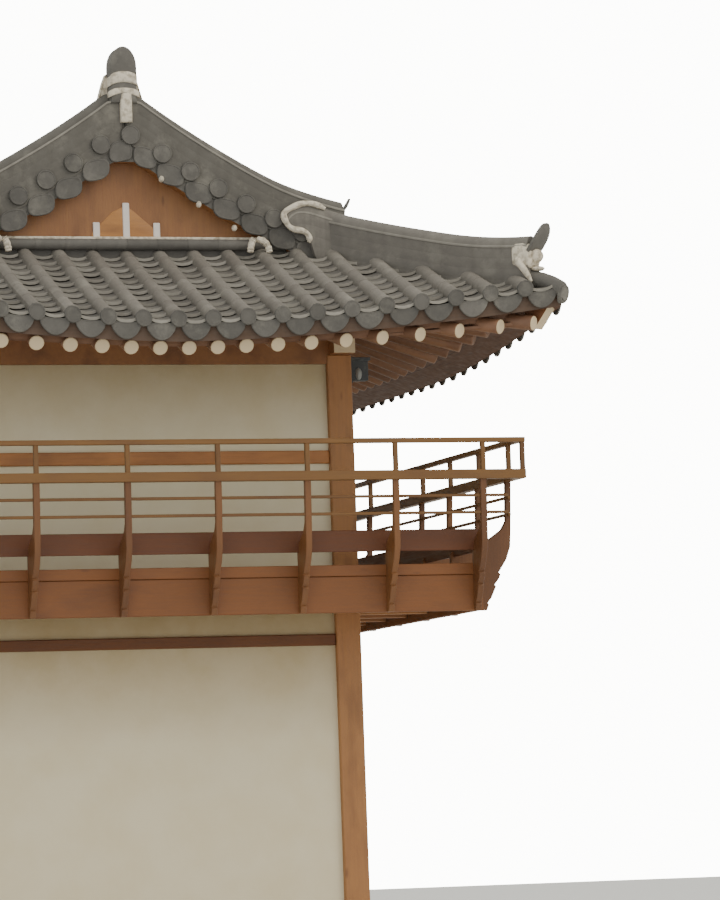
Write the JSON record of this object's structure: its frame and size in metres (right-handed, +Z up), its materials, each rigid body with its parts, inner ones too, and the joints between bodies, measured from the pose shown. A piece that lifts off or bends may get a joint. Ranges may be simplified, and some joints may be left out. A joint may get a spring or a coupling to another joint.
{
  "type": "two-storey hanok house",
  "caption": "Timber-framed house with plastered walls, a railed balcony round the upper storey and a hip-and-gable roof of grey clay tiles.",
  "frame": {"origin": "on the ground under the middle of the house", "axes": "+Z up, the ridge runs along Y, the gable end that the picture shows looks towards -Y"},
  "size_m": [7.0684, 10.2684, 8.11],
  "materials": {
    "frame_timber": "oil-stained",
    "rail_timber": "oil-stained",
    "gable_timber": "oil-stained",
    "lime_plaster": "matt",
    "clay_tile": "matt fired",
    "foundation_concrete": "cast",
    "lamp_housing": "satin"
  },
  "bodies": {
    "root": {"balcony_fascia": "frame_timber", "balcony_rail_back": "rail_timber", "balcony_rail_front": "rail_timber", "balcony_rail_left": "rail_timber", "balcony_rail_right": "rail_timber", "corner_post_back_left": "frame_timber", "corner_post_back_right": "frame_timber", "corner_post_front_left": "frame_timber", "corner_post_front_right": "frame_timber", "eave_rafters_back": "frame_timber", "eave_rafters_front": "frame_timber", "eave_rafters_left": "frame_timber", "eave_rafters_right": "frame_timber", "gable_boards_back": "gable_timber", "gable_boards_front": "gable_timber", "gable_ridges_back": "clay_tile", "gable_ridges_front": "clay_tile", "ground_slab": "foundation_concrete", "hip_ridge_back_left": "clay_tile", "hip_ridge_back_right": "clay_tile", "hip_ridge_front_left": "clay_tile", "hip_ridge_front_right": "clay_tile", "lower_beam_back": "frame_timber", "lower_beam_front": "frame_timber", "lower_beam_left": "frame_timber", "lower_beam_right": "frame_timber", "lower_wall_back": "lime_plaster", "lower_wall_front": "lime_plaster", "lower_wall_left": "lime_plaster", "lower_wall_right": "lime_plaster", "main_ridge": "clay_tile", "mid_beam_back": "frame_timber", "mid_beam_front": "frame_timber", "mid_beam_left": "frame_timber", "mid_beam_right_back": "frame_timber", "mid_beam_right_front": "frame_timber", "middle_post_left": "frame_timber", "middle_post_right": "frame_timber", "roof_skirt_back": "clay_tile", "roof_skirt_front": "clay_tile", "roof_slope_left": "clay_tile", "roof_slope_right": "clay_tile", "side_lamp": "lamp_housing", "upper_floor": "frame_timber", "upper_wall_back": "lime_plaster", "upper_wall_front": "lime_plaster", "upper_wall_left": "lime_plaster", "upper_wall_right": "lime_plaster", "wall_plates": "frame_timber"}
  },
  "joints": []
}
